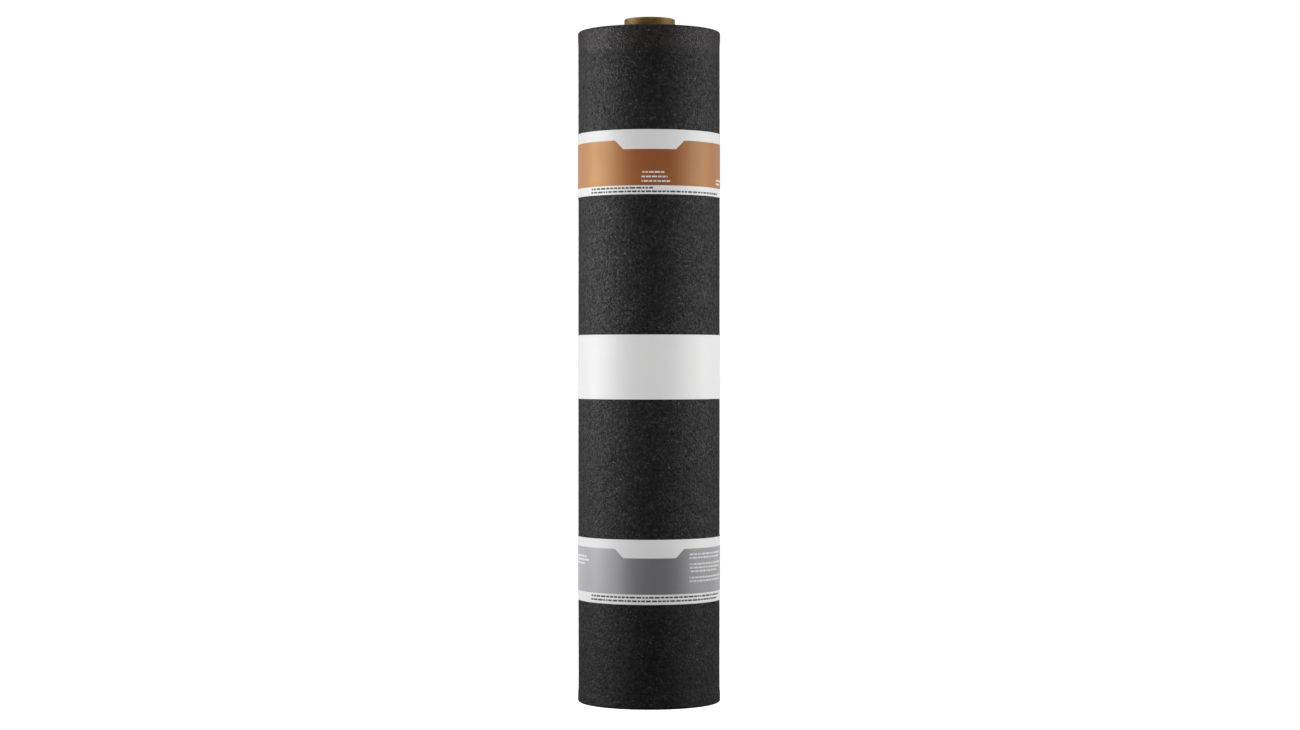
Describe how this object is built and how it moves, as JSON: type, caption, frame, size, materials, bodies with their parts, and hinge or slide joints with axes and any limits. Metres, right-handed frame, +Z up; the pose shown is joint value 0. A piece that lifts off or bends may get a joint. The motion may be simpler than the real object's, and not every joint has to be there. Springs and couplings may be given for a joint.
{
  "type": "roll of bitumen protection sheet",
  "caption": "Standing roll of granular bitumen protection sheet, wound on a paper core that stands out of its top and held shut by printed paper bands.",
  "frame": {"origin": "axis of the core tube, on the floor that the roll stands on", "axes": "+Z up along the core, towards the end where it stands out; -Y to the front of the printed bands"},
  "size_m": [0.1619, 0.1634, 0.775],
  "materials": {
    "bitumen_sheet": "matte, with fine mineral granules",
    "core_board": "matte kraft board, spirally wound",
    "copper_band_paper": "satin coated paper with a copper-brown printed stripe",
    "white_band_paper": "satin coated paper",
    "grey_band_paper": "satin coated paper with a grey printed stripe"
  },
  "bodies": {
    "root": {"sheet_roll": "bitumen_sheet", "core_tube": "core_board", "top_band": "copper_band_paper", "middle_band": "white_band_paper", "bottom_band": "grey_band_paper"}
  },
  "joints": []
}
